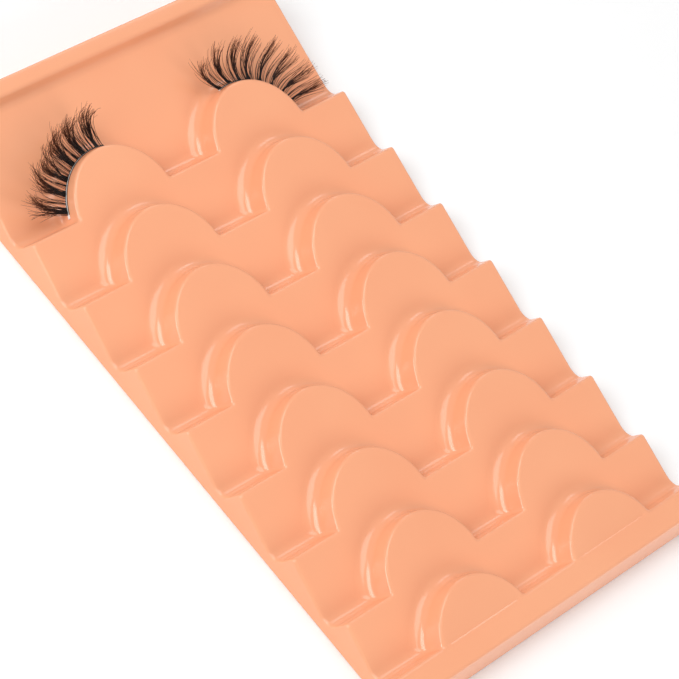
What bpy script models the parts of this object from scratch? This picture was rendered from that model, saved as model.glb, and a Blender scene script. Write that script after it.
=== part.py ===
"""A pair of false eyelash strips on a stepped display tray.

Frame: metres, +Z up. +X runs across the tray to the right, +Y runs along it to the header.
The origin is under the middle of the tray, on the surface that it stands on.
"""

import math

import bmesh
import bpy
from mathutils import Vector

MM = 0.001

# Tray, overall
BASE_WIDTH = 101.0 * MM
BASE_LENGTH = 168.3 * MM
SIDE_DRAFT = math.radians(7.0)
WALL = 0.6 * MM
CORNER_RADIUS = 3.5 * MM
CORNER_STEPS = 4

# Tiers: sloping plates, each one lower at its near side, all with the same slope
TIER_PITCH = 18.0 * MM
TIER_COUNT = 7
TIER_RISE = 6.13 * MM
TIER_TOP = 7.05 * MM
FIRST_TIER_Y = 46.5 * MM
SLOPE = TIER_RISE / TIER_PITCH

# Step from a tier down to the one behind it
STEP_RUN = 2.56 * MM
STEP_FILLET = 3.0 * MM

# Arched ledges, two on each tier
ARCH_RADIUS = 13.7 * MM
ARCH_SPACING = 43.2 * MM
ARCH_SETBACK = 1.6 * MM
ARCH_STEPS = 14
NOTCH_RADIUS_TOP = 1.0 * MM
NOTCH_RADIUS_FOOT = 1.8 * MM
NOTCH_STEPS = 3

# Header at the far end
HEADER_TOP = 14.4 * MM
HEADER_FOOT_Y = 30.8 * MM
HEADER_FOOT_RUN = 1.48 * MM

# Low rim at the near end: its inner edge lies this far from its own tier's line
RIM_ADVANCE = 2.34 * MM

# Strips, laid along the walls of the first tier's arches
BAND_START = math.radians(77.0)
BAND_END = math.radians(165.0)
BAND_FROM_EDGE = 1.1 * MM
BAND_HEIGHT = 1.0 * MM
BAND_THICKNESS = 0.3 * MM
BAND_STEPS = 24
SEAT_GAP = 0.3 * MM

# Hair: locks of three prongs on a root thread
THREAD_START = math.radians(80.0)
THREAD_END = math.radians(161.5)
THREAD_HEIGHT = 0.7 * MM
THREAD_THICKNESS = 0.4 * MM
LOCK_COUNT = 10
PRONGS_PER_LOCK = 3
PRONG_STEPS = 5
PRONG_TIP = 0.12 * MM
PRONG_FAN = 0.9 * MM

# Reach of the hair at the inner and the outer end of each strip: outwards, upwards, and along the strip
HAIR_REACH = {
    "left": {"out": (5.8 * MM, 9.6 * MM), "up": (5.0 * MM, 7.0 * MM), "along": (-0.6 * MM, 0.4 * MM)},
    "right": {"out": (6.2 * MM, 8.0 * MM), "up": (5.4 * MM, 5.6 * MM), "along": (1.2 * MM, 0.6 * MM)},
}

PEACH_PLASTIC = ("formed_peach_plastic", (0.93, 0.42, 0.24, 1.0), 0.35)
CLEAR_FILM = ("clear_film", (0.85, 0.82, 0.78, 1.0), 0.2)
BLACK_HAIR = ("black_fibre", (0.012, 0.008, 0.007, 1.0), 0.45)


def mix(pair, share):
    return pair[0] + (pair[1] - pair[0]) * share


def clear_scene():
    for obj in list(bpy.data.objects):
        bpy.data.objects.remove(obj, do_unlink=True)


def make_material(name, colour, roughness):
    material = bpy.data.materials.new(name)
    material.use_nodes = True
    shader = material.node_tree.nodes["Principled BSDF"]
    shader.inputs["Base Color"].default_value = colour
    shader.inputs["Roughness"].default_value = roughness
    shader.inputs["Metallic"].default_value = 0.0
    return material


def add_object(name, mesh_builder, material):
    mesh = bpy.data.meshes.new(name)
    mesh_builder.to_mesh(mesh)
    mesh_builder.free()
    mesh.materials.append(material)
    obj = bpy.data.objects.new(name, mesh)
    bpy.context.scene.collection.objects.link(obj)
    return obj


def plate_height(y, tier):
    """Height of a tier's sloping plate at y; tier 0 is the plate next to the header."""
    return TIER_TOP + SLOPE * (y - FIRST_TIER_Y + (tier - 1) * TIER_PITCH)


def half_width(z, depth):
    return BASE_WIDTH / 2 - z * math.tan(SIDE_DRAFT) - depth / math.cos(SIDE_DRAFT)


def half_length(z, depth):
    return BASE_LENGTH / 2 - z * math.tan(SIDE_DRAFT) - depth / math.cos(SIDE_DRAFT)


def step_profile():
    """Points of a step's section: distance out from the top edge, height above the plate below."""
    angle = math.atan2(TIER_RISE, STEP_RUN)
    tangent = STEP_FILLET * math.tan(angle / 2)
    foot = STEP_RUN + tangent
    points = [(0.0, TIER_RISE)]
    for turn in (angle, angle / 2, 0.0):
        points.append((foot - STEP_FILLET * math.sin(turn), STEP_FILLET * (1 - math.cos(turn))))
    return points


def step_outline(offset, tier, advance):
    """Plan of a step at one distance out from its top edge, from the left side to the right.

    Two arches stand out of a straight line, with a small rounded notch at each foot. The side
    columns are left out. Returns the points, and where each arch's feet are in the list.
    """
    share = offset / (STEP_RUN + STEP_FILLET)
    notch = NOTCH_RADIUS_TOP + (NOTCH_RADIUS_FOOT - NOTCH_RADIUS_TOP) * max(share, 0.0)
    tier_y = FIRST_TIER_Y - (tier - 1) * TIER_PITCH
    line = ARCH_SETBACK + advance + offset
    radius = ARCH_RADIUS + offset
    notch_y = line + notch
    notch_x = math.sqrt((radius + notch) ** 2 - notch_y ** 2)
    tangent_angle = math.atan2(notch_y, notch_x)
    half = []
    for step in range(NOTCH_STEPS + 1):
        angle = -math.pi / 2 + (math.pi / 2 - tangent_angle) * step / NOTCH_STEPS
        half.append((-notch_x + notch * math.cos(angle), notch_y + notch * math.sin(angle)))
    arch_start = math.pi - tangent_angle
    arch = []
    for step in range(1, ARCH_STEPS):
        angle = arch_start + (tangent_angle - arch_start) * step / ARCH_STEPS
        arch.append((radius * math.cos(angle), radius * math.sin(angle)))
    shape = half + arch + [(-x, y) for x, y in reversed(half)]
    points = []
    feet = []
    for side in (-1, 1):
        feet.append((len(points), len(points) + len(shape) - 1))
        for x, y in shape:
            points.append((side * ARCH_SPACING / 2 + x, tier_y - ARCH_SETBACK + y))
    return points, feet


def build_tray_skin(mesh, depth):
    """One face of the tray's wall: depth 0 is the upper face, depth WALL is the one underneath."""
    slope_angle = math.atan(SLOPE)
    step_angle = math.atan2(TIER_RISE, STEP_RUN)
    drop = depth / math.cos(slope_angle)
    inset = depth / math.sin(step_angle) - drop * STEP_RUN / TIER_RISE

    def add_row(points):
        return [mesh.verts.new(point) for point in points]

    def add_step_row(offset, height, tier, advance):
        plan, feet = step_outline(offset - inset, tier, advance)
        heights = [plate_height(y, tier - 1) + height - drop for _, y in plan]
        edge_y = plan[0][1]
        edge_z = plate_height(edge_y, tier - 1) + height - drop
        edge_x = half_width(edge_z, depth)
        row = [(-edge_x, edge_y, edge_z)]
        row += [(x, y, z) for (x, y), z in zip(plan, heights)]
        row.append((edge_x, edge_y, edge_z))
        return add_row(row), [(first + 1, last + 1) for first, last in feet]

    def add_straight_row(y, z):
        x = half_width(z, depth)
        return add_row([(-x, y, z), (x, y, z)])

    # Header: base, outer top edge, inner top edge, foot on the first plate
    header_z = HEADER_TOP - depth
    foot_y = FIRST_TIER_Y + HEADER_FOOT_Y
    foot_z = plate_height(foot_y, 0)
    header_run = HEADER_FOOT_RUN / (HEADER_TOP - foot_z)
    wall_shift = depth / math.sin(math.atan2(1.0, header_run))
    inner_foot_y = foot_y + (wall_shift - header_run * drop) / (1 - header_run * SLOPE)
    base_far = add_straight_row(half_length(0.0, depth), 0.0)
    header_outer = add_straight_row(half_length(header_z, depth), header_z)
    header_inner_y = foot_y + (header_z - foot_z) * header_run + wall_shift
    header_inner = add_straight_row(header_inner_y, header_z)
    header_foot = add_straight_row(inner_foot_y, plate_height(inner_foot_y, 0) - drop)
    side_rows = [base_far, header_outer, header_inner, header_foot]
    for upper, lower in zip(side_rows[:-1], side_rows[1:]):
        mesh.faces.new([upper[0], upper[1], lower[1], lower[0]])

    # Tiers: a plate, then the step up to the next tier
    plate_edge = header_foot
    for tier in range(1, TIER_COUNT + 2):
        advance = RIM_ADVANCE if tier > TIER_COUNT else 0.0
        profile = list(reversed(step_profile()))
        step_rows = [add_step_row(offset, height, tier, advance) for offset, height in profile]
        foot_row = step_rows[0][0]
        mesh.faces.new(plate_edge + list(reversed(foot_row)))
        for (low, _), (high, _) in zip(step_rows[:-1], step_rows[1:]):
            for index in range(len(low) - 1):
                mesh.faces.new([low[index], low[index + 1], high[index + 1], high[index]])
        side_rows += [row for row, _ in step_rows]
        plate_edge, feet = step_rows[-1]

    # Rim: the last arches end at a flat top, which the outer wall carries down to the base
    rim_z = plate_edge[0].co.z + drop - depth
    crease = [plate_edge[0]]
    for first, last in feet:
        mesh.faces.new(list(reversed(plate_edge[first:last + 1])))
        crease += [plate_edge[first], plate_edge[last]]
    crease.append(plate_edge[-1])
    rim_outer = add_straight_row(-half_length(rim_z, depth), plate_edge[0].co.z)
    base_near = add_straight_row(-half_length(0.0, depth), 0.0)
    mesh.faces.new(crease + list(reversed(rim_outer)))
    mesh.faces.new([rim_outer[0], rim_outer[1], base_near[1], base_near[0]])
    side_rows += [rim_outer, base_near]

    # Side walls, one flat drafted face each
    mesh.faces.new([row[0] for row in side_rows])
    mesh.faces.new([row[-1] for row in reversed(side_rows)])

    corners = []
    for base, top in ((base_far, header_outer), (base_near, rim_outer)):
        for end in (0, 1):
            corners.append(next(e for e in base[end].link_edges if e.other_vert(base[end]) is top[end]))
    bmesh.ops.bevel(mesh, geom=corners, offset=CORNER_RADIUS - depth, offset_type="OFFSET",
                    segments=CORNER_STEPS, profile=0.5, affect="EDGES")


def build_tray():
    """A thin shell: the upper face, the one underneath, and the flat base edge that joins them."""
    mesh = bmesh.new()
    build_tray_skin(mesh, 0.0)
    upper_faces = set(mesh.faces)
    build_tray_skin(mesh, WALL)
    lower_faces = [face for face in mesh.faces if face not in upper_faces]
    bmesh.ops.reverse_faces(mesh, faces=lower_faces)
    rims = [edge for edge in mesh.edges if edge.is_boundary]
    bmesh.ops.bridge_loops(mesh, edges=rims)
    bmesh.ops.recalc_face_normals(mesh, faces=mesh.faces)
    bmesh.ops.triangulate(mesh, faces=mesh.faces, quad_method="BEAUTY", ngon_method="BEAUTY")
    return mesh


def wall_point(side, angle, from_edge, stand_off, along_wall):
    """A point on or off the wall of a first-tier arch.

    side is -1 or 1, and angle is 90 degrees at the apex and more towards the tray's side. from_edge is
    the distance out from the top edge in plan, stand_off the distance off the wall, along_wall down it.
    """
    length = math.hypot(STEP_RUN, TIER_RISE)
    offset = from_edge + (stand_off * TIER_RISE + along_wall * STEP_RUN) / length
    height = TIER_RISE * (1 - from_edge / STEP_RUN)
    height += (stand_off * STEP_RUN - along_wall * TIER_RISE) / length
    radius = ARCH_RADIUS + offset
    x = side * (ARCH_SPACING / 2 - radius * math.cos(angle))
    y = FIRST_TIER_Y - ARCH_SETBACK + radius * math.sin(angle)
    return Vector((x, y, plate_height(y, 0) + height))


def build_swept_bar(side, start, end, steps, stand_off, height, thickness):
    """A flat bar bent along the arch wall. Returns the mesh and its rows of four corner points."""
    mesh = bmesh.new()
    rows = []
    for step in range(steps + 1):
        angle = mix((start, end), step / steps)
        corners = ((stand_off, -height / 2), (stand_off + thickness, -height / 2),
                   (stand_off + thickness, height / 2), (stand_off, height / 2))
        rows.append([mesh.verts.new(wall_point(side, angle, BAND_FROM_EDGE, out, down))
                     for out, down in corners])
    return mesh, rows


def close_bar(mesh, rows, open_steps=()):
    """Skin a bar's rows, leaving its outer face open at the steps where a prong grows."""
    for step, (near, far) in enumerate(zip(rows[:-1], rows[1:])):
        for corner in range(4):
            if corner == 1 and step in open_steps:
                continue
            after = (corner + 1) % 4
            mesh.faces.new([near[corner], near[after], far[after], far[corner]])
    mesh.faces.new(list(reversed(rows[0])))
    mesh.faces.new(rows[-1])


def build_band(side):
    mesh, rows = build_swept_bar(side, BAND_START, BAND_END, BAND_STEPS, SEAT_GAP,
                                 BAND_HEIGHT, BAND_THICKNESS)
    close_bar(mesh, rows)
    bmesh.ops.recalc_face_normals(mesh, faces=mesh.faces)
    return mesh


def grow_prong(mesh, root, outward, along, reach):
    """A tapered, up-curling prong from the four root corners. reach is (out, up, along)."""
    centre = sum((vert.co for vert in root), Vector()) / 4
    shape = [vert.co - centre for vert in root]
    base_width = (root[0].co - root[3].co).length
    ring = root
    for step in range(1, PRONG_STEPS + 1):
        share = step / PRONG_STEPS
        turn = share * math.pi / 2
        place = centre + outward * reach[0] * math.sin(turn) * (0.75 + 0.25 * share)
        place = place + Vector((0, 0, reach[1] * (1 - math.cos(turn))))
        place = place + along * reach[2] * share
        scale = 1 - (1 - PRONG_TIP / base_width) * share
        new_ring = [mesh.verts.new(place + arm * scale) for arm in shape]
        for corner in range(4):
            after = (corner + 1) % 4
            mesh.faces.new([ring[corner], ring[after], new_ring[after], new_ring[corner]])
        ring = new_ring
    mesh.faces.new(ring)


def build_lashes(name, side):
    """The root thread with its locks: three prongs and a bare step for each lock."""
    steps = LOCK_COUNT * (PRONGS_PER_LOCK + 1) + 1
    stand_off = 2 * SEAT_GAP + BAND_THICKNESS
    mesh, rows = build_swept_bar(side, THREAD_START, THREAD_END, steps, stand_off,
                                 THREAD_HEIGHT, THREAD_THICKNESS)
    prong_steps = [lock * (PRONGS_PER_LOCK + 1) + 1 + prong
                   for lock in range(LOCK_COUNT) for prong in range(PRONGS_PER_LOCK)]
    close_bar(mesh, rows, prong_steps)
    reach = HAIR_REACH[name]
    middle = (PRONGS_PER_LOCK - 1) / 2
    for step in prong_steps:
        near, far = rows[step], rows[step + 1]
        root = [near[1], near[2], far[2], far[1]]
        share = step / steps
        angle = mix((THREAD_START, THREAD_END), share)
        outward = Vector((-side * math.cos(angle), math.sin(angle), 0))
        along = Vector((side * math.sin(angle), math.cos(angle), 0))
        prong = (step - 1) % (PRONGS_PER_LOCK + 1) - middle
        length = 1.0 if prong == 0 else 0.86
        grow_prong(mesh, root, outward, along, (
            mix(reach["out"], share) * length,
            mix(reach["up"], share) * length,
            mix(reach["along"], share) + prong * PRONG_FAN,
        ))
    bmesh.ops.recalc_face_normals(mesh, faces=mesh.faces)
    return mesh


def main():
    clear_scene()
    peach = make_material(*PEACH_PLASTIC)
    film = make_material(*CLEAR_FILM)
    hair = make_material(*BLACK_HAIR)
    add_object("tray", build_tray(), peach)
    for name, side in (("left", -1), ("right", 1)):
        add_object(name + "_band", build_band(side), film)
        add_object(name + "_lashes", build_lashes(name, side), hair)


main()
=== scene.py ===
"""A pair of false eyelash strips on their stepped display tray: the looks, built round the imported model."""

import math

import bmesh
import bpy
import numpy as np
from mathutils import Matrix, Vector


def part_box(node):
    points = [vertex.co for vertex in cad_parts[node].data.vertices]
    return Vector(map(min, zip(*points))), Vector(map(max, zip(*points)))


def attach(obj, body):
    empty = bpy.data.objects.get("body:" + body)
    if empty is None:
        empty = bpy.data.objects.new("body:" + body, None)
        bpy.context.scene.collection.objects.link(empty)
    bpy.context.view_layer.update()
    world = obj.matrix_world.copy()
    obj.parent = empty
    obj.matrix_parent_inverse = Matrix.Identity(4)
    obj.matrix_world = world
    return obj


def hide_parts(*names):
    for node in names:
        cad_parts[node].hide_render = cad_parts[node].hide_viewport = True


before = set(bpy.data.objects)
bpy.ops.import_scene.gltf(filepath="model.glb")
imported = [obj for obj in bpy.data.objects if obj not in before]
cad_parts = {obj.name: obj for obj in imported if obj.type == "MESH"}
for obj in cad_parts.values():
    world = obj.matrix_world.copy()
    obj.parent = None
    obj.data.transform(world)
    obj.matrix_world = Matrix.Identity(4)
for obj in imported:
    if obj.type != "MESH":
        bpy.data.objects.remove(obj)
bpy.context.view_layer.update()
MM = 0.001

# Camera
# It stands at the photograph's place, to the left of the low rim and 48 degrees above the floor, and is
# rolled so that the tray runs from the top left of the picture to the bottom right.
CAMERA_TARGET = Vector((-1.0, -6.4, 7.0)) * MM
CAMERA_DISTANCE = 724.7 * MM
CAMERA_AZIMUTH = math.radians(-69.47)
CAMERA_ELEVATION = math.radians(48.37)
CAMERA_ROLL = math.radians(34.0)
CAMERA_LENS = 173.1
CAMERA_NEAREST = 10 * MM

level_right = Vector((math.cos(CAMERA_AZIMUTH), math.sin(CAMERA_AZIMUTH), 0.0))
camera_back = Vector((
    math.sin(CAMERA_AZIMUTH) * math.cos(CAMERA_ELEVATION),
    -math.cos(CAMERA_AZIMUTH) * math.cos(CAMERA_ELEVATION),
    math.sin(CAMERA_ELEVATION),
))
level_up = camera_back.cross(level_right)
camera_right = level_right * math.cos(CAMERA_ROLL) + level_up * math.sin(CAMERA_ROLL)
camera_up = camera_back.cross(camera_right)
camera = bpy.data.objects.new("camera", bpy.data.cameras.new("camera"))
camera.data.lens = CAMERA_LENS
camera.data.clip_start = CAMERA_NEAREST
camera.matrix_world = Matrix.Translation(CAMERA_TARGET + camera_back * CAMERA_DISTANCE) @ Matrix(
    (camera_right, camera_up, camera_back)).transposed().to_4x4()
bpy.context.scene.collection.objects.link(camera)
bpy.context.scene.camera = camera

# Tray
# The real piece is one sheet of coloured PET, 0.6 mm thick, softened by heat and drawn by vacuum over a
# stepped mould, then trimmed flat at its base. Every edge is rounded, because the sheet bridges sharp
# corners of the mould.
tray_low, tray_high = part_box("tray")
BASE_WIDTH = tray_high.x - tray_low.x
BASE_LENGTH = tray_high.y - tray_low.y
SHEET = 0.6 * MM
SIDE_DRAFT = math.radians(7.0)
CORNER_RADIUS = 3.5 * MM
SIDE_ROUND = 0.8 * MM
SIDE_STEPS = 5
# A narrow row of faces under the round keeps the shading of the flat wall flat: its share of the height
WALL_ROW_SHARE = 0.04
CORNER_STEPS = 4
SHARP_ANGLE = math.radians(40.0)

TIER_PITCH = 18.0 * MM
TIER_COUNT = 7
TIER_RISE = 6.13 * MM
TIER_TOP = 7.05 * MM
FIRST_TIER_Y = 46.5 * MM
SLOPE = TIER_RISE / TIER_PITCH
STEP_RUN = 2.56 * MM
FOOT_ROUND = 4.3 * MM
FOOT_STEPS = 9
EDGE_ROUND = 1.1 * MM
EDGE_STEPS = 5
PLATE_MARGIN = 0.2 * MM

ARCH_RADIUS = 13.7 * MM
ARCH_SPACING = 43.2 * MM
ARCH_SETBACK = 1.6 * MM
ARCH_STEPS = 36
NOTCH_TOP = 1.0 * MM
NOTCH_FOOT = 1.8 * MM
NOTCH_STEPS = 4

HEADER_TOP = 14.4 * MM
HEADER_FOOT_Y = 30.8 * MM
HEADER_FOOT_RUN = 1.0 * MM
HEADER_EDGE_ROUND = 1.2 * MM
HEADER_FOOT_ROUND = 2.6 * MM
RIM_ADVANCE = 2.34 * MM
RIM_CREASE_Y = FIRST_TIER_Y - TIER_COUNT * TIER_PITCH + RIM_ADVANCE
RIM_ROW_GAP = 0.1 * MM
GROOVE_FADE = 2.0 * MM
# Section of the groove in which the rim's arches rise: distance from the crease towards the header, depth
RIM_GROOVE = (
    (0.9 * MM, 0.0), (0.3 * MM, 0.1 * MM), (0.0, 0.16 * MM), (-0.2 * MM, 0.09 * MM), (-0.5 * MM, 0.0),
)


def plate_height(y, tier):
    """Height of a tier's sloping plate at y; tier 0 is the plate next to the header."""
    return TIER_TOP + SLOPE * (y - FIRST_TIER_Y + (tier - 1) * TIER_PITCH)


def round_corner(before, corner, after, radius, steps):
    """Points of the arc that rounds the corner between two straight runs in a section."""
    corner = Vector(corner)
    back = (Vector(before) - corner).normalized()
    ahead = (Vector(after) - corner).normalized()
    half = back.angle(ahead) / 2
    reach = radius / math.tan(half)
    centre = corner + (back + ahead).normalized() * (radius / math.sin(half))
    first = corner + back * reach - centre
    last = corner + ahead * reach - centre
    sweep = first.angle(last)
    return [tuple(centre + (first * math.sin(sweep * (steps - step) / steps)
                            + last * math.sin(sweep * step / steps)) / math.sin(sweep))
            for step in range(steps + 1)]


def step_section():
    """Section of a step from foot to top: distance out from its top edge, height over the lower plate."""
    far = 2 * (STEP_RUN + FOOT_ROUND)
    foot = round_corner((far, 0), (STEP_RUN, 0), (0, TIER_RISE), FOOT_ROUND, FOOT_STEPS)
    edge = round_corner((STEP_RUN, 0), (0, TIER_RISE), (-far, TIER_RISE), EDGE_ROUND, EDGE_STEPS)
    return foot + edge


def step_plan(offset, tier, advance):
    """Plan of a step at a distance out from its top edge: two arches, a rounded notch at each foot."""
    share = max(offset / (STEP_RUN + FOOT_ROUND), 0.0)
    notch = NOTCH_TOP + (NOTCH_FOOT - NOTCH_TOP) * share
    line = ARCH_SETBACK + advance + offset
    radius = ARCH_RADIUS + offset
    notch_x = math.sqrt((radius + notch) ** 2 - (line + notch) ** 2)
    lean = math.atan2(line + notch, notch_x)
    half = []
    for step in range(NOTCH_STEPS + 1):
        angle = -math.pi / 2 + (math.pi / 2 - lean) * step / NOTCH_STEPS
        half.append((-notch_x + notch * math.cos(angle), line + notch + notch * math.sin(angle)))
    for step in range(1, ARCH_STEPS // 2 + 1):
        angle = math.pi - lean - (math.pi / 2 - lean) * step / (ARCH_STEPS // 2)
        half.append((radius * math.cos(angle), radius * math.sin(angle)))
    arch = half + [(-x, y) for x, y in reversed(half[:-1])]
    arch_y = FIRST_TIER_Y - (tier - 1) * TIER_PITCH - ARCH_SETBACK
    return [(side * ARCH_SPACING / 2 + x, arch_y + y) for side in (-1, 1) for x, y in arch]


side_inset = SIDE_ROUND * math.tan((math.pi / 2 - SIDE_DRAFT) / 2)
corner_inner = CORNER_RADIUS - side_inset
corner_shares = [math.tan(step * math.pi / 4 / CORNER_STEPS) for step in range(CORNER_STEPS + 1)]


def corner_centre(z):
    """Plan centre of the rounded corners of the surface's border at a height."""
    inset = z * math.tan(SIDE_DRAFT) + side_inset + corner_inner
    return BASE_WIDTH / 2 - inset, BASE_LENGTH / 2 - inset


def tray_row(plan, heights):
    """One row of points across the tray's upper face, with the columns at its sides added."""
    (_, left_y), (_, right_y) = plan[0], plan[-1]
    x, y = corner_centre(heights[0])
    reach = [x + corner_inner * share for share in corner_shares]
    points = [(-side, left_y, heights[0]) for side in reversed(reach)]
    points += [(px, py, pz) for (px, py), pz in zip(plan, heights)]
    points += [(side, right_y, heights[-1]) for side in reach]
    row = np.array(points)
    over = np.maximum(np.abs(row[:, :2]) - (x, y), 0.0)
    rounded = over.max(axis=1) / np.maximum(np.linalg.norm(over, axis=1), 1e-9)
    inside = np.minimum(np.abs(row[:, :2]), (x, y))
    cornered = over.min(axis=1) > 0
    row[cornered, :2] = (np.sign(row[:, :2]) * (inside + over * rounded[:, None]))[cornered]
    return row


def rim_height(y):
    """Height of the last tier: its arches slope up from the flat rim."""
    return plate_height(max(y, RIM_CREASE_Y), TIER_COUNT) + TIER_RISE


section = step_section()
foot_offset = section[0][0]
top_offset = section[-1][0]
widths = [x for x, _ in step_plan(foot_offset, 1, 0.0)]
rows = []
plate_rows = []

# Tray, header: its flat top, and its inner wall down to the first plate. The top is so narrow that the
# round of its inner edge takes the place of the two innermost rows of its corners.
header_foot = FIRST_TIER_Y + HEADER_FOOT_Y
header_foot_z = plate_height(header_foot, 0)
far_y = corner_centre(HEADER_TOP)[1]
for share in reversed(corner_shares[2:]):
    plan = [(x, far_y + corner_inner * share) for x in widths]
    rows.append(tray_row(plan, [HEADER_TOP] * len(plan)))
header_edge = (header_foot + HEADER_FOOT_RUN, HEADER_TOP)
header_corner = (header_foot, header_foot_z)
plate_point = (0.0, plate_height(0.0, 0))
header_section = [
    *round_corner((BASE_LENGTH, HEADER_TOP), header_edge, header_corner, HEADER_EDGE_ROUND, EDGE_STEPS),
    *round_corner(header_edge, header_corner, plate_point, HEADER_FOOT_ROUND, EDGE_STEPS),
]
for y, z in header_section:
    rows.append(tray_row([(x, y) for x in widths], [z] * len(widths)))

# Tray, tiers: each is a flat sloping plate, one face between two margins, and the step up to the next
plan = [(x, header_section[-1][0] - PLATE_MARGIN) for x in widths]
rows.append(tray_row(plan, [plate_height(y, 0) for _, y in plan]))
for tier in range(1, TIER_COUNT + 2):
    advance = RIM_ADVANCE if tier > TIER_COUNT else 0.0
    plate_rows.append(len(rows) - 1)
    margins = [(foot_offset + PLATE_MARGIN, 0.0), *section, (top_offset - PLATE_MARGIN, TIER_RISE)]
    for offset, height in margins:
        plan = step_plan(offset, tier, advance)
        heights = [plate_height(y, tier - 1) + height for _, y in plan]
        if advance and offset < 0:
            heights = [rim_height(y) + height - TIER_RISE for _, y in plan]
        rows.append(tray_row(plan, heights))

# Tray, rim: a shallow groove where the last arches meet it, which fades out beside them, then a flat
fade = [min(max((y - RIM_CREASE_Y) / GROOVE_FADE - 0.5, 0.0), 1.0) for _, y in plan]
for step, (reach, depth) in enumerate(RIM_GROOVE):
    gap = (step + 1) * RIM_ROW_GAP
    groove = [(x, min(RIM_CREASE_Y + reach, y - gap)) for x, y in plan]
    rows.append(tray_row(groove, [rim_height(y) - depth * full for (_, y), full in zip(groove, fade)]))
rim_z = rim_height(-BASE_LENGTH)
near_y = corner_centre(rim_z)[1]
for share in corner_shares:
    rows.append(tray_row([(x, -near_y - corner_inner * share) for x, _ in plan], [rim_z] * len(plan)))

# Tray, outer wall: it rolls over the border of the upper face and runs down to the base
top = np.array(rows)
row_count, column_count = top.shape[:2]
index = np.arange(row_count * column_count).reshape(row_count, column_count)
border = list(index[:, 0]) + list(index[-1, 1:]) + list(index[-2::-1, -1]) + list(index[0, -2:0:-1])
points = [Vector(point) for point in top.reshape(-1, 3)]
faces = []
for row in range(row_count - 1):
    if row in plate_rows:
        faces.append([*reversed(index[row]), *index[row + 1]])
        continue
    for column in range(column_count - 1):
        corner = index[row, column]
        below = index[row + 1, column]
        faces.append((corner, below, below + 1, corner + 1))
roll = math.pi / 2 - SIDE_DRAFT
above = border
for step in range(1, SIDE_STEPS + 3):
    ring = []
    for vertex in border:
        edge = points[vertex]
        x, y = corner_centre(edge.z)
        outward = Vector((
            math.copysign(max(abs(edge.x) - x, 0.0), edge.x),
            math.copysign(max(abs(edge.y) - y, 0.0), edge.y), 0.0)).normalized()
        turn = roll * min(step / SIDE_STEPS, 1.0)
        drop = SIDE_ROUND * (1 - math.cos(turn))
        reach = SIDE_ROUND * math.sin(turn)
        if step > SIDE_STEPS:
            drop += (edge.z - drop) * (WALL_ROW_SHARE if step == SIDE_STEPS + 1 else 1.0)
            reach = side_inset + drop * math.tan(SIDE_DRAFT)
        ring.append(len(points))
        points.append(edge + outward * reach - Vector((0, 0, drop)))
    for place in range(len(border)):
        following = (place + 1) % len(border)
        faces.append((above[place], ring[place], ring[following], above[following]))
    above = ring


def add_object(name, mesh):
    """A new object in the scene, at the origin."""
    obj = bpy.data.objects.new(name, mesh)
    bpy.context.scene.collection.objects.link(obj)
    return obj


def finished(obj):
    """The object with its modifiers turned into a plain mesh."""
    mesh = bpy.data.meshes.new_from_object(obj.evaluated_get(bpy.context.evaluated_depsgraph_get()))
    name = obj.name
    bpy.data.objects.remove(obj)
    mesh.name = name
    return add_object(name, mesh)


tray_mesh = bpy.data.meshes.new("display_tray")
tray_mesh.from_pydata(points, [], [tuple(int(v) for v in face) for face in faces])
tray = add_object("display_tray", tray_mesh)
wall = tray.modifiers.new("sheet", "SOLIDIFY")
wall.thickness = SHEET
wall.offset = -1.0
tray = finished(tray)
# The sheet's lower edge is trimmed level, to stand on the table
for vertex in tray.data.vertices:
    vertex.co.z = max(vertex.co.z, 0.0)
tray.data.shade_smooth()
tray.data.set_sharp_from_angle(angle=SHARP_ANGLE)


def linear(hex_colour):
    """A colour picked as sRGB hex, as the linear colour that a shader takes."""
    channels = [int(hex_colour[place:place + 2], 16) / 255 for place in (1, 3, 5)]
    return tuple(c / 12.92 if c <= 0.04045 else ((c + 0.055) / 1.055) ** 2.4 for c in channels) + (1.0,)


def add_node(tree, kind, links=None, **settings):
    """A new node. links gives each input a value, another node, or one of its outputs."""
    node = tree.nodes.new(kind)
    for name, value in settings.items():
        setattr(node, name, value)
    for key, value in (links or {}).items():
        socket = node.inputs[key] if isinstance(key, int) else next(
            s for s in node.inputs if s.enabled and s.name == key)
        if isinstance(value, bpy.types.Node):
            value = next(s for s in value.outputs if s.enabled)
        if isinstance(value, bpy.types.NodeSocket):
            tree.links.new(value, socket)
        else:
            socket.default_value = value
    return node


def new_material(name):
    """A material with an empty tree. Returns it, its tree and its output node."""
    material = bpy.data.materials.new(name)
    material.use_nodes = True
    material.node_tree.nodes.clear()
    return material, material.node_tree, material.node_tree.nodes.new("ShaderNodeOutputMaterial")


# PET, coloured through and thermoformed: a soft gloss, since the heated sheet loses some of its shine. It
# is a little paler where it thinned as it stretched over the mould, with a faint orange-peel ripple.
PET_BODY = "#F6A67D"
PET_THINNED = "#FAB086"
PET_IOR = 1.57
PET_GLOSS = (0.14, 0.2)
STRETCH_WIDTH = 22 * MM
ORANGE_PEEL_WIDTH = 1.4 * MM
ORANGE_PEEL_DEPTH = 0.1 * MM
ORANGE_PEEL_STRENGTH = 0.06

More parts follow.
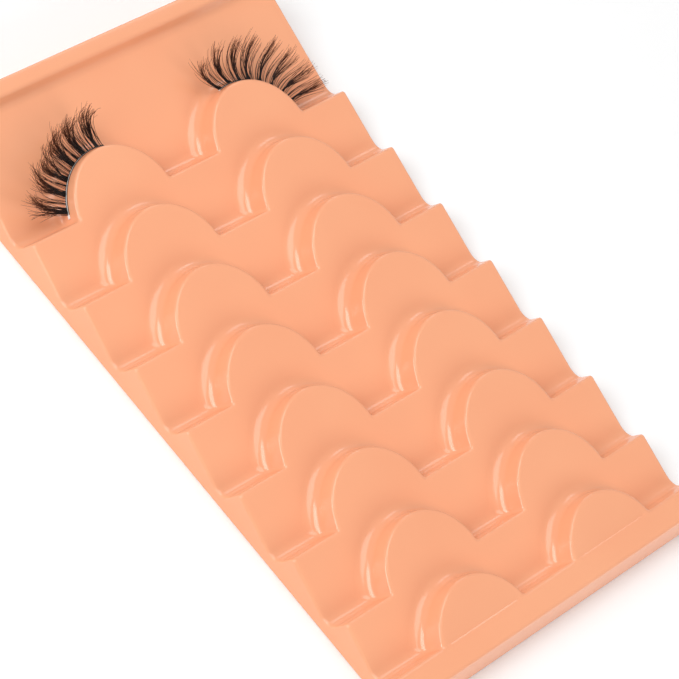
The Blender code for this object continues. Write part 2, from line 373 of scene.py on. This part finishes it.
pet, tree, output = new_material("peach_pet_thermoformed")
place = add_node(tree, "ShaderNodeTexCoord")
stretch = add_node(tree, "ShaderNodeTexNoise", {
    "Vector": place.outputs["Object"], "Scale": 1 / STRETCH_WIDTH, "Detail": 2.0, "Roughness": 0.4})
tint = add_node(tree, "ShaderNodeMix", {
    "Factor": stretch, "A": linear(PET_BODY), "B": linear(PET_THINNED)}, data_type="RGBA")
peel = add_node(tree, "ShaderNodeTexNoise", {
    "Vector": place.outputs["Object"], "Scale": 1 / ORANGE_PEEL_WIDTH, "Detail": 2.0, "Roughness": 0.5})
relief = add_node(tree, "ShaderNodeBump", {
    "Strength": ORANGE_PEEL_STRENGTH, "Distance": ORANGE_PEEL_DEPTH, "Height": peel})
gloss = add_node(tree, "ShaderNodeMapRange", {
    "Value": stretch, "To Min": PET_GLOSS[0], "To Max": PET_GLOSS[1]})
shader = add_node(tree, "ShaderNodeBsdfPrincipled", {
    "Base Color": tint, "Roughness": gloss, "IOR": PET_IOR, "Normal": relief})
tree.links.new(shader.outputs[0], output.inputs[0])
tray.data.materials.append(pet)
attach(tray, "root")
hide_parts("tray")

# Film bands
# Each strip hangs on a ribbon of clear polyurethane film, 0.6 mm deep and 23 mm long, slit from a sheet.
# It stands on edge against the wall of its arched ledge, where its own tack holds it, and its ends are
# bare past the hair.
ARCH_SIDES = {"left": -1, "right": 1}
FILM_START = math.radians(77.0)
FILM_END = math.radians(165.0)
FILM_FROM_EDGE = 1.1 * MM
FILM_STAND_OFF = 0.1 * MM
FILM_DEPTH = 0.6 * MM
FILM_THICKNESS = 0.14 * MM
FILM_BEVEL = 0.04 * MM
FILM_STEPS = 48


def wall_point(side, angle, stand_off, down):
    """A point by the wall of a first-tier arch: 90 degrees at its apex, and more towards the tray's side."""
    length = math.hypot(STEP_RUN, TIER_RISE)
    offset = FILM_FROM_EDGE + (stand_off * TIER_RISE + down * STEP_RUN) / length
    height = TIER_RISE * (1 - FILM_FROM_EDGE / STEP_RUN)
    height += (stand_off * STEP_RUN - down * TIER_RISE) / length
    radius = ARCH_RADIUS + offset
    x = side * (ARCH_SPACING / 2 - radius * math.cos(angle))
    y = FIRST_TIER_Y - ARCH_SETBACK + radius * math.sin(angle)
    return Vector((x, y, plate_height(y, 0) + height))


def film_mesh(name, side):
    """The film's bevelled section, swept along the wall of its arch."""
    half = FILM_DEPTH / 2
    bevel = FILM_BEVEL
    near, far = FILM_STAND_OFF, FILM_STAND_OFF + FILM_THICKNESS
    outline = [(near, -half + bevel), (near + bevel, -half), (far - bevel, -half), (far, -half + bevel),
               (far, half - bevel), (far - bevel, half), (near + bevel, half), (near, half - bevel)]
    mesh = bmesh.new()
    rings = []
    for step in range(FILM_STEPS + 1):
        angle = FILM_START + (FILM_END - FILM_START) * step / FILM_STEPS
        rings.append([mesh.verts.new(wall_point(side, angle, out, down)) for out, down in outline])
    for first, second in zip(rings[:-1], rings[1:]):
        for corner in range(len(outline)):
            after = (corner + 1) % len(outline)
            mesh.faces.new((first[corner], first[after], second[after], second[corner]))
    mesh.faces.new(rings[0])
    mesh.faces.new(rings[-1])
    bmesh.ops.recalc_face_normals(mesh, faces=mesh.faces)
    made = bpy.data.meshes.new(name)
    mesh.to_mesh(made)
    mesh.free()
    return made


# TPU film, cast and matted on both faces. It is clear, but its colour is painted near white: a painted
# highlight for the glint along its edge, which is seen nearly edge on here, with a little of the plastic
# behind showing through. The grain of its matting is drawn at 0.6 mm, far coarser than the real one, so
# that it shows.
FILM_WHITE_PAINTED_GLINT = "#FFFDFA"
FILM_IOR = 1.5
FILM_CLARITY = 0.1
FILM_HAZE = (0.18, 0.34)
MATTING_WIDTH = 0.6 * MM

film, tree, output = new_material("clear_tpu_film_cast")
place = add_node(tree, "ShaderNodeTexCoord")
matting = add_node(tree, "ShaderNodeTexNoise", {
    "Vector": place.outputs["Object"], "Scale": 1 / MATTING_WIDTH, "Detail": 3.0, "Roughness": 0.6})
haze = add_node(tree, "ShaderNodeMapRange", {
    "Value": matting, "To Min": FILM_HAZE[0], "To Max": FILM_HAZE[1]})
shader = add_node(tree, "ShaderNodeBsdfPrincipled", {
    "Base Color": linear(FILM_WHITE_PAINTED_GLINT), "Roughness": haze, "IOR": FILM_IOR,
    "Transmission Weight": FILM_CLARITY})
tree.links.new(shader.outputs[0], output.inputs[0])

for name, side in ARCH_SIDES.items():
    band = add_object(name + "_film_band", film_mesh(name + "_film_band", side))
    band.data.materials.append(film)
    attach(band, "root")
    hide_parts(name + "_band")

# Root threads and knots
# The hair is caught by a black polyester thread that runs along the film's outer face, in one small
# glued knot for each cluster. A second black thread runs along the film's upper edge, a thin dark line
# between the film and the wall.
ROOT_THREAD = 0.08 * MM
EDGE_THREAD = 0.08 * MM
ROOT_THREAD_PRESSED = 0.06 * MM
ROOT_STAND_OFF = FILM_STAND_OFF + FILM_THICKNESS + ROOT_THREAD_PRESSED
KNOT_LENGTH = 0.34 * MM
KNOT_THICKNESS = 0.15 * MM
CLUSTER_SHIFT = 0.12
ROOT_LINE_STEPS = 48

# Where the hair starts and ends on the arch in degrees, its clusters, and the places of the first and the
# last of them as shares of that run
STRIPS = {
    "left": {"start": 77.4, "end": 162.0, "Clusters": 6, "First": 0.065, "Last": 0.96},
    "right": {"start": 77.5, "end": 160.5, "Clusters": 8, "First": 0.03, "Last": 0.965},
}


def wall_line(name, strip, stand_off, down):
    """A line of edges along the arch's wall, from where a strip's hair starts to where it ends."""
    side = ARCH_SIDES[strip]
    start, end = (math.radians(STRIPS[strip][which]) for which in ("start", "end"))
    angles = [start + (end - start) * step / ROOT_LINE_STEPS for step in range(ROOT_LINE_STEPS + 1)]
    mesh = bpy.data.meshes.new(name)
    mesh.from_pydata([wall_point(side, angle, stand_off, down) for angle in angles],
                     [(step, step + 1) for step in range(ROOT_LINE_STEPS)], [])
    outward = mesh.attributes.new("outward", "FLOAT_VECTOR", "POINT")
    for step, angle in enumerate(angles):
        outward.data[step].vector = (-side * math.cos(angle), math.sin(angle), 0.0)
    return mesh


def new_tree(name, sockets):
    """A Geometry Nodes tree with named inputs. Returns it, its inputs and its output socket."""
    made = bpy.data.node_groups.new(name, "GeometryNodeTree")
    for label, kind in sockets:
        made.interface.new_socket(label, in_out="INPUT", socket_type="NodeSocket" + kind)
    made.interface.new_socket("Mesh", in_out="OUTPUT", socket_type="NodeSocketGeometry")
    return made, made.nodes.new("NodeGroupInput").outputs, made.nodes.new("NodeGroupOutput").inputs[0]


def grow(name, line, tree, values):
    """A new object with the mesh that a tree makes from a line."""
    obj = add_object(name, line.copy())
    modifier = obj.modifiers.new(name, "NODES")
    modifier.node_group = tree
    for socket in tree.interface.items_tree:
        if socket.name in values:
            modifier[socket.identifier] = values[socket.name]
    return finished(obj)


def cluster_share(tree, cluster, given):
    """Where a cluster is on its root line, from 0 to 1: evenly spaced, with a small shift of its own."""
    shift = add_node(tree, "FunctionNodeRandomValue", {
        "Min": -CLUSTER_SHIFT, "Max": CLUSTER_SHIFT, "ID": cluster, "Seed": given["Seed"]}, data_type="FLOAT")
    return add_node(tree, "ShaderNodeMapRange", {
        "Value": add_node(tree, "ShaderNodeMath", {0: cluster, 1: shift}, operation="ADD"),
        "From Max": add_node(tree, "ShaderNodeMath", {0: given["Clusters"], 1: -1.0}, operation="ADD"),
        "To Min": given["First"], "To Max": given["Last"]}, clamp=False)


thread_tree, given, result = new_tree("thread_with_knots", (
    ("Line", "Geometry"), ("Thread Radius", "Float"), ("Clusters", "Int"), ("First", "Float"),
    ("Last", "Float"), ("Knot Size", "Vector"), ("Seed", "Int"), ("Material", "Material")))
tree = thread_tree
line = add_node(tree, "GeometryNodeMeshToCurve", {"Mesh": given["Line"]})
ring = add_node(tree, "GeometryNodeCurvePrimitiveCircle", {"Resolution": 6, "Radius": 1.0})
thread = add_node(tree, "GeometryNodeCurveToMesh", {
    "Curve": line, "Scale": given["Thread Radius"], "Fill Caps": True, "Profile Curve": ring})
knot_share = cluster_share(tree, add_node(tree, "GeometryNodeInputIndex"), given)
sample = add_node(tree, "GeometryNodeSampleCurve", {"Curves": line, "Factor": knot_share}, mode="FACTOR")
knot_points = add_node(tree, "GeometryNodePoints", {
    "Count": given["Clusters"], "Position": sample.outputs["Position"]})
knot_points = add_node(tree, "GeometryNodeStoreNamedAttribute", {
    "Geometry": knot_points, "Name": "tangent", "Value": sample.outputs["Tangent"]},
    data_type="FLOAT_VECTOR")
tangent = add_node(tree, "GeometryNodeInputNamedAttribute", {"Name": "tangent"}, data_type="FLOAT_VECTOR")
turned = add_node(tree, "FunctionNodeAlignRotationToVector", {"Vector": tangent}, axis="X")
knots = add_node(tree, "GeometryNodeInstanceOnPoints", {
    "Points": knot_points, "Rotation": turned, "Scale": given["Knot Size"],
    "Instance": add_node(tree, "GeometryNodeMeshIcoSphere", {"Radius": 1.0, "Subdivisions": 2})})
knots = add_node(tree, "GeometryNodeRealizeInstances", {"Geometry": knots})
joined = add_node(tree, "GeometryNodeJoinGeometry")
tree.links.new(knots.outputs[0], joined.inputs[0])
tree.links.new(thread.outputs[0], joined.inputs[0])
smooth = add_node(tree, "GeometryNodeSetShadeSmooth", {"Geometry": joined})
coloured = add_node(tree, "GeometryNodeSetMaterial", {"Geometry": smooth, "Material": given["Material"]})
tree.links.new(coloured.outputs[0], result)

# Polyester thread, dyed black and set with drops of black glue: dull, with a small soft highlight on each
# knot.
THREAD_BLACK = "#12100F"
THREAD_DULLNESS = (0.4, 0.6)
THREAD_TWIST = 0.1 * MM

thread_black, tree, output = new_material("black_polyester_thread")
place = add_node(tree, "ShaderNodeTexCoord")
strands = add_node(tree, "ShaderNodeTexNoise", {
    "Vector": place.outputs["Object"], "Scale": 1 / THREAD_TWIST, "Detail": 2.0})
shine = add_node(tree, "ShaderNodeMapRange", {
    "Value": strands, "To Min": THREAD_DULLNESS[0], "To Max": THREAD_DULLNESS[1]})
shader = add_node(tree, "ShaderNodeBsdfPrincipled", {"Base Color": linear(THREAD_BLACK), "Roughness": shine})
tree.links.new(shader.outputs[0], output.inputs[0])

for name, side in ARCH_SIDES.items():
    for part, stand_off, down, radius in (
            ("root", ROOT_STAND_OFF, 0.0, ROOT_THREAD),
            ("edge", FILM_STAND_OFF + FILM_THICKNESS / 2, -FILM_DEPTH / 2, EDGE_THREAD)):
        line = wall_line("line", name, stand_off, down)
        values = {**STRIPS[name], "Thread Radius": radius, "Seed": side + 1, "Material": thread_black,
                  "Knot Size": (KNOT_LENGTH, KNOT_THICKNESS, KNOT_THICKNESS)}
        if part == "edge":
            values["Clusters"] = 0
        thread = grow(name + "_" + part + "_thread", line, thread_tree, values)
        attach(thread, "root")

# Hair
# Tapered black-brown PBT fibres, heat-set in a curl. Each cluster is a few pointed bundles that cross the
# ones beside it; thinner tufts and single hairs fill the gaps. The fibres are drawn about twice as thick
# as real ones, which are 0.07 mm, so that they show.
HAIR_STEPS = 11
HAIR_ROOT_RADIUS = 0.07 * MM
HAIR_TIP_RADIUS = 0.026 * MM
HAIR_TAPER = 1.2
HAIR_CURL_ONSET = 1.3
START_PITCH = math.radians(10.0)
ROOT_LIFT = 0.18 * MM
# How much of a hair's place and curl is its bundle's, and how much its own
BUNDLE_ROOT_PART, HAIR_ROOT_PART = 0.75, 0.25
BUNDLE_CURL_PART, HAIR_CURL_PART = 0.6, 0.4
# How much shorter than the longest a bundle can be, and a hair in it
BUNDLE_LENGTH_RANGE, HAIR_LENGTH_RANGE = 0.18, 0.2
THICKNESS_LEAST, THICKNESS_RANGE = 0.75, 0.4
# How much of its fan a hair shows at the root already, and how much narrower fans are at the outer end
ROOT_FAN_PART = 0.3
OUTER_FAN_LOSS = 0.5

# The three vectors hold a value for the inner end, the middle and the outer end of the strip. Curl is the
# pitch of the tip, and the sweeps are the sideways lean to the outer end at the root and at the tip, all
# in radians. Fullness thins the tufts and single hairs.
HAIR_SHAPE = {
    "left": {
        "Length": (12.2 * MM, 13.4 * MM, 14.2 * MM), "Curl": (1.9, 1.7, 0.85),
        "Start Sweep": (0.2, 0.0, 0.0), "Sweep": (0.3, 0.6, 0.1), "Bundles": 12, "Bundle Fan": 0.85,
        "Fullness": 1.0,
    },
    "right": {
        "Length": (10.6 * MM, 13.8 * MM, 12.0 * MM), "Curl": (1.3, 1.75, 1.1),
        "Start Sweep": (-0.6, -0.1, 0.2), "Sweep": (-0.3, 1.0, 1.0), "Bundles": 7, "Bundle Fan": 0.36,
        "Fullness": 0.75,
    },
}

hair_tree, given, result = new_tree("hair_along_band", (
    ("Line", "Geometry"), ("Clusters", "Int"), ("First", "Float"), ("Last", "Float"), ("Bundles", "Int"),
    ("Bundle Hairs", "Int"), ("Cluster Width", "Float"), ("Pinch", "Float"), ("Bundle Fan", "Float"),
    ("Hair Fan", "Float"), ("Curl Spread", "Float"), ("Length", "Vector"), ("Curl", "Vector"),
    ("Start Sweep", "Vector"), ("Sweep", "Vector"), ("Start Pitch", "Float"), ("Root Radius", "Float"),
    ("Tip Radius", "Float"), ("Steps", "Int"), ("Seed", "Int"), ("Material", "Material")))
tree = hair_tree
line = add_node(tree, "GeometryNodeMeshToCurve", {"Mesh": given["Line"]})

# Which hair this is, and its own chances
hair = add_node(tree, "GeometryNodeInputIndex")
per_cluster = add_node(tree, "ShaderNodeMath", {
    0: given["Bundles"], 1: given["Bundle Hairs"]}, operation="MULTIPLY")
bundle = add_node(tree, "ShaderNodeMath", {0: hair, 1: given["Bundle Hairs"]}, operation="DIVIDE")
bundle = add_node(tree, "ShaderNodeMath", {0: bundle}, operation="FLOOR")
cluster = add_node(tree, "ShaderNodeMath", {0: hair, 1: per_cluster}, operation="DIVIDE")
cluster = add_node(tree, "ShaderNodeMath", {0: cluster}, operation="FLOOR")
count = add_node(tree, "ShaderNodeMath", {0: per_cluster, 1: given["Clusters"]}, operation="MULTIPLY")
chances = (
    ("root", hair, -1.0), ("bundle fan", bundle, -1.0), ("hair fan", hair, -1.0),
    ("bundle length", bundle, 0.0), ("hair length", hair, 0.0), ("bundle curl", bundle, -1.0),
    ("hair curl", hair, -1.0), ("height", hair, -1.0), ("thickness", hair, 0.0),
    ("bundle root", bundle, -1.0),
)
chance = {}
# Each chance has its own seed, and each value of the input Seed gives ten of them
for number, (label, whose, low) in enumerate(chances):
    seed = add_node(tree, "ShaderNodeMath", {
        0: given["Seed"], 1: 10.0, 2: number + 1.0}, operation="MULTIPLY_ADD")
    chance[label] = add_node(tree, "FunctionNodeRandomValue", {
        "Min": low, "Max": 1.0, "ID": whose, "Seed": seed}, data_type="FLOAT")

# Where its root is, and the length, curl and sweep that go with that place
hair_spread = add_node(tree, "ShaderNodeMath", {
    0: chance["root"], 1: HAIR_ROOT_PART}, operation="MULTIPLY")
spread = add_node(tree, "ShaderNodeMath", {
    0: chance["bundle root"], 1: BUNDLE_ROOT_PART, 2: hair_spread}, operation="MULTIPLY_ADD")
share = add_node(tree, "ShaderNodeMath", {
    0: spread, 1: given["Cluster Width"], 2: cluster_share(tree, cluster, given)},
    operation="MULTIPLY_ADD", use_clamp=True)
squared = add_node(tree, "ShaderNodeMath", {0: share, 1: share}, operation="MULTIPLY")
# The weights of the curve of the second degree that goes through a shape's three values
rising = add_node(tree, "ShaderNodeVectorMath", {
    0: (-3.0, 4.0, -1.0), 1: share, 2: (1.0, 0.0, 0.0)}, operation="MULTIPLY_ADD")
weights = add_node(tree, "ShaderNodeVectorMath", {
    0: (2.0, -4.0, 2.0), 1: squared, 2: rising}, operation="MULTIPLY_ADD")
local = {}
for label in ("Length", "Curl", "Start Sweep", "Sweep"):
    local[label] = add_node(tree, "ShaderNodeVectorMath", {
        0: weights, 1: given[label]}, operation="DOT_PRODUCT")
outward = add_node(tree, "GeometryNodeInputNamedAttribute", {"Name": "outward"}, data_type="FLOAT_VECTOR")
sample = add_node(tree, "GeometryNodeSampleCurve", {
    "Curves": line, "Value": outward, "Factor": share}, mode="FACTOR", data_type="FLOAT_VECTOR")
lift = add_node(tree, "ShaderNodeMath", {0: chance["height"], 1: ROOT_LIFT}, operation="MULTIPLY")
lift = add_node(tree, "ShaderNodeCombineXYZ", {"Z": lift})
root = add_node(tree, "ShaderNodeVectorMath", {0: sample.outputs["Position"], 1: lift}, operation="ADD")
bundle_length = add_node(tree, "ShaderNodeMath", {
    0: chance["bundle length"], 1: BUNDLE_LENGTH_RANGE, 2: 1 - BUNDLE_LENGTH_RANGE},
    operation="MULTIPLY_ADD")
hair_length = add_node(tree, "ShaderNodeMath", {
    0: chance["hair length"], 1: HAIR_LENGTH_RANGE, 2: 1 - HAIR_LENGTH_RANGE},
    operation="MULTIPLY_ADD")
length = add_node(tree, "ShaderNodeMath", {0: bundle_length, 1: hair_length}, operation="MULTIPLY")
length = add_node(tree, "ShaderNodeMath", {0: local["Length"], 1: length}, operation="MULTIPLY")
fan_width = add_node(tree, "ShaderNodeMath", {
    0: squared, 1: -OUTER_FAN_LOSS, 2: 1.0}, operation="MULTIPLY_ADD")
fan_width = add_node(tree, "ShaderNodeMath", {0: fan_width, 1: given["Bundle Fan"]}, operation="MULTIPLY")
bundle_fan = add_node(tree, "ShaderNodeMath", {0: chance["bundle fan"], 1: fan_width}, operation="MULTIPLY")
hair_fan = add_node(tree, "ShaderNodeMath", {
    0: chance["hair fan"], 1: given["Hair Fan"]}, operation="MULTIPLY")
fan = add_node(tree, "ShaderNodeMath", {0: bundle_fan, 1: hair_fan}, operation="ADD")
pinched = add_node(tree, "ShaderNodeMath", {
    0: spread, 1: given["Pinch"], 2: local["Start Sweep"]}, operation="MULTIPLY_ADD")
start_yaw = add_node(tree, "ShaderNodeMath", {
    0: fan, 1: ROOT_FAN_PART, 2: pinched}, operation="MULTIPLY_ADD")
end_yaw = add_node(tree, "ShaderNodeMath", {0: fan, 1: local["Sweep"]}, operation="ADD")
hair_curl = add_node(tree, "ShaderNodeMath", {
    0: chance["hair curl"], 1: HAIR_CURL_PART}, operation="MULTIPLY")
mixed_curl = add_node(tree, "ShaderNodeMath", {
    0: chance["bundle curl"], 1: BUNDLE_CURL_PART, 2: hair_curl}, operation="MULTIPLY_ADD")
curl = add_node(tree, "ShaderNodeMath", {
    0: mixed_curl, 1: given["Curl Spread"], 2: local["Curl"]}, operation="MULTIPLY_ADD")

# One straight line for each hair, which keeps those values
strands = add_node(tree, "GeometryNodePoints", {"Count": count, "Position": root})
facts = {
    "root": root, "outward": sample.outputs["Value"], "along": sample.outputs["Tangent"],
    "shape": add_node(tree, "ShaderNodeCombineXYZ", {"X": length, "Y": start_yaw, "Z": end_yaw}),
    "finish": add_node(tree, "ShaderNodeCombineXYZ", {"X": curl, "Y": chance["thickness"]}),
}
for label, value in facts.items():
    strands = add_node(tree, "GeometryNodeStoreNamedAttribute", {
        "Geometry": strands, "Name": label, "Value": value}, data_type="FLOAT_VECTOR")
straight = add_node(tree, "GeometryNodeCurvePrimitiveLine", {"Start": (0, 0, 0), "End": (MM, 0, 0)})
point_count = add_node(tree, "ShaderNodeMath", {0: given["Steps"], 1: 1.0}, operation="ADD")
straight = add_node(tree, "GeometryNodeResampleCurve", {"Curve": straight, "Count": point_count})
strands = add_node(tree, "GeometryNodeInstanceOnPoints", {"Points": strands, "Instance": straight})
strands = add_node(tree, "GeometryNodeRealizeInstances", {"Geometry": strands})

# Each step of the line heads outwards at first, then up and to the side
kept = {}
for label in facts:
    kept[label] = add_node(tree, "GeometryNodeInputNamedAttribute", {
        "Name": label}, data_type="FLOAT_VECTOR")
shape = add_node(tree, "ShaderNodeSeparateXYZ", {"Vector": kept["shape"]}).outputs
finish = add_node(tree, "ShaderNodeSeparateXYZ", {"Vector": kept["finish"]}).outputs
done = add_node(tree, "GeometryNodeSplineParameter").outputs["Factor"]
curled = add_node(tree, "ShaderNodeMath", {0: done, 1: HAIR_CURL_ONSET}, operation="POWER")
pitch = add_node(tree, "ShaderNodeMapRange", {
    "Value": curled, "To Min": given["Start Pitch"], "To Max": finish["X"]})
yaw = add_node(tree, "ShaderNodeMapRange", {"Value": done, "To Min": shape["Y"], "To Max": shape["Z"]})
yaw_cosine = add_node(tree, "ShaderNodeMath", {0: yaw}, operation="COSINE")
yaw_sine = add_node(tree, "ShaderNodeMath", {0: yaw}, operation="SINE")
pitch_cosine = add_node(tree, "ShaderNodeMath", {0: pitch}, operation="COSINE")
pitch_sine = add_node(tree, "ShaderNodeMath", {0: pitch}, operation="SINE")
ahead = add_node(tree, "ShaderNodeVectorMath", {0: kept["outward"], "Scale": yaw_cosine}, operation="SCALE")
aside = add_node(tree, "ShaderNodeVectorMath", {0: kept["along"], "Scale": yaw_sine}, operation="SCALE")
level = add_node(tree, "ShaderNodeVectorMath", {0: ahead, 1: aside}, operation="ADD")
level = add_node(tree, "ShaderNodeVectorMath", {0: level, "Scale": pitch_cosine}, operation="SCALE")
rise = add_node(tree, "ShaderNodeCombineXYZ", {"Z": pitch_sine})
heading = add_node(tree, "ShaderNodeVectorMath", {0: level, 1: rise}, operation="ADD")
step_length = add_node(tree, "ShaderNodeMath", {0: shape["X"], 1: given["Steps"]}, operation="DIVIDE")
stride = add_node(tree, "ShaderNodeVectorMath", {0: heading, "Scale": step_length}, operation="SCALE")
walked = add_node(tree, "GeometryNodeAccumulateField", {
    "Value": stride, "Group ID": add_node(tree, "GeometryNodeCurveOfPoint").outputs["Curve Index"]},
    data_type="FLOAT_VECTOR").outputs["Trailing"]
strands = add_node(tree, "GeometryNodeStoreNamedAttribute", {
    "Geometry": strands, "Name": "hair_share", "Value": done}, data_type="FLOAT")
place = add_node(tree, "ShaderNodeVectorMath", {0: kept["root"], 1: walked}, operation="ADD")
strands = add_node(tree, "GeometryNodeSetPosition", {"Geometry": strands, "Position": place})

# A three-sided tube round it, which tapers to the tip
kept_share = add_node(tree, "GeometryNodeInputNamedAttribute", {"Name": "hair_share"}, data_type="FLOAT")
tapered = add_node(tree, "ShaderNodeMath", {0: kept_share, 1: HAIR_TAPER}, operation="POWER")
radius = add_node(tree, "ShaderNodeMapRange", {
    "Value": tapered, "To Min": given["Root Radius"], "To Max": given["Tip Radius"]})
stout = add_node(tree, "ShaderNodeMath", {
    0: finish["Y"], 1: THICKNESS_RANGE, 2: THICKNESS_LEAST}, operation="MULTIPLY_ADD")
radius = add_node(tree, "ShaderNodeMath", {0: radius, 1: stout}, operation="MULTIPLY")
ring = add_node(tree, "GeometryNodeCurvePrimitiveCircle", {"Resolution": 3, "Radius": 1.0})
tubes = add_node(tree, "GeometryNodeCurveToMesh", {
    "Curve": strands, "Fill Caps": True, "Scale": radius, "Profile Curve": ring})
smooth = add_node(tree, "GeometryNodeSetShadeSmooth", {"Geometry": tubes})
coloured = add_node(tree, "GeometryNodeSetMaterial", {"Geometry": smooth, "Material": given["Material"]})
tree.links.new(coloured.outputs[0], result)

# PBT fibre, drawn and ground to a taper: near black where it is thick, with a narrow sheen, and a warm dark
# brown towards the tip, where light comes through.
FIBRE_ROOT = "#110A08"
FIBRE_TIP = "#5E2B18"
FIBRE_BROWNING = 1.6
FIBRE_ROUGHNESS = 0.42
FIBRE_SHEEN = 0.3

fibre, tree, output = new_material("black_brown_pbt_fibre")
along = add_node(tree, "ShaderNodeAttribute", attribute_name="hair_share")
browned = add_node(tree, "ShaderNodeMath", {0: along.outputs["Fac"], 1: FIBRE_BROWNING}, operation="POWER")
tone = add_node(tree, "ShaderNodeMix", {
    "Factor": browned, "A": linear(FIBRE_ROOT), "B": linear(FIBRE_TIP)}, data_type="RGBA")
shader = add_node(tree, "ShaderNodeBsdfPrincipled", {
    "Base Color": tone, "Roughness": FIBRE_ROUGHNESS, "Specular IOR Level": FIBRE_SHEEN})
tree.links.new(shader.outputs[0], output.inputs[0])

# Kinds of growth: the clusters, thin tufts between them, and single hairs. Widths are shares of the strip,
# and fans and spreads are in radians. The pinch leans the hairs of a cluster towards each other.
GROWTH = (
    {"Bundle Hairs": 4, "Cluster Width": 0.032, "Pinch": -0.45, "Hair Fan": 0.09, "Curl Spread": 0.6},
    {"Clusters": 18, "First": 0.01, "Last": 0.99, "Bundles": 1, "Bundle Hairs": 4, "Cluster Width": 0.012,
     "Pinch": 0.0, "Bundle Fan": 0.5, "Hair Fan": 0.1, "Curl Spread": 0.5},
    {"Clusters": 80, "First": 0.0, "Last": 1.0, "Bundles": 1, "Bundle Hairs": 1, "Cluster Width": 0.01,
     "Pinch": 0.0, "Bundle Fan": 0.5, "Hair Fan": 0.1, "Curl Spread": 0.5},
)

for name, side in ARCH_SIDES.items():
    line = wall_line("line", name, ROOT_STAND_OFF, 0.0)
    grown = []
    for kind, growth in enumerate(GROWTH):
        values = {
            "Start Pitch": START_PITCH, "Root Radius": HAIR_ROOT_RADIUS, "Tip Radius": HAIR_TIP_RADIUS,
            "Steps": HAIR_STEPS, "Material": fibre, **STRIPS[name], **HAIR_SHAPE[name], **growth,
        }
        # The clusters share their seed with the knots, so that each grows from its own knot
        values["Seed"] = side + 1
        if kind > 0:
            values["Seed"] = 10 * kind + side
            values["Clusters"] = round(growth["Clusters"] * HAIR_SHAPE[name]["Fullness"])
        grown.append(grow(name + "_hair", line, hair_tree, values))
    with bpy.context.temp_override(active_object=grown[0], selected_editable_objects=grown):
        bpy.ops.object.join()
    grown[0].name = name + "_hair"
    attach(grown[0], "root")
    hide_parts(name + "_lashes")

# Floor and light
# A wide white table in a white-walled studio, with three large softboxes and a small one round it. The
# ones overhead and at the left make the pair of pale streaks at the foot of each arch.
FLOOR_SIZE = 4.0
FLOOR_DROP = 0.1 * MM
FLOOR_WHITE = "#FFFFFF"
FLOOR_ROUGHNESS = 0.8
WALL_WHITE = "#FFFFFF"
WALL_LIGHT = 0.42

floor_mesh = bpy.data.meshes.new("floor")
reach = FLOOR_SIZE / 2
floor_plan = ((-reach, -reach), (reach, -reach), (reach, reach), (-reach, reach))
floor_corners = [(x, y, -FLOOR_DROP) for x, y in floor_plan]
floor_mesh.from_pydata(floor_corners, [], [(0, 1, 2, 3)])
floor = add_object("floor", floor_mesh)
paint, tree, output = new_material("white_table_paint")
shader = add_node(tree, "ShaderNodeBsdfPrincipled", {
    "Base Color": linear(FLOOR_WHITE), "Roughness": FLOOR_ROUGHNESS})
tree.links.new(shader.outputs[0], output.inputs[0])
floor.data.materials.append(paint)

world = bpy.data.worlds.new("studio_walls")
bpy.context.scene.world = world
world.use_nodes = True
world.node_tree.nodes["Background"].inputs["Color"].default_value = linear(WALL_WHITE)
world.node_tree.nodes["Background"].inputs["Strength"].default_value = WALL_LIGHT

# Name, place, width and height in metres, and power in watts
SOFTBOXES = (
    ("overhead_softbox", (-0.02, 0.25, 1.0), (0.66, 0.6), 2.9),
    ("left_softbox", (-0.72, 0.25, 0.62), (0.75, 0.42), 4.6),
    ("right_softbox", (0.6, 0.6, 0.55), (0.3, 0.25), 0.5),
    ("front_softbox", (0.2, -1.0, 0.5), (0.6, 0.6), 3.7),
)
for name, spot, (width, height), power in SOFTBOXES:
    lamp = bpy.data.lights.new(name, "AREA")
    lamp.shape = "RECTANGLE"
    lamp.size = width
    lamp.size_y = height
    lamp.energy = power
    box = bpy.data.objects.new(name, lamp)
    box.location = spot
    box.rotation_euler = (-Vector(spot)).to_track_quat("-Z", "Y").to_euler()
    bpy.context.scene.collection.objects.link(box)
bpy.context.scene.view_settings.view_transform = "Standard"
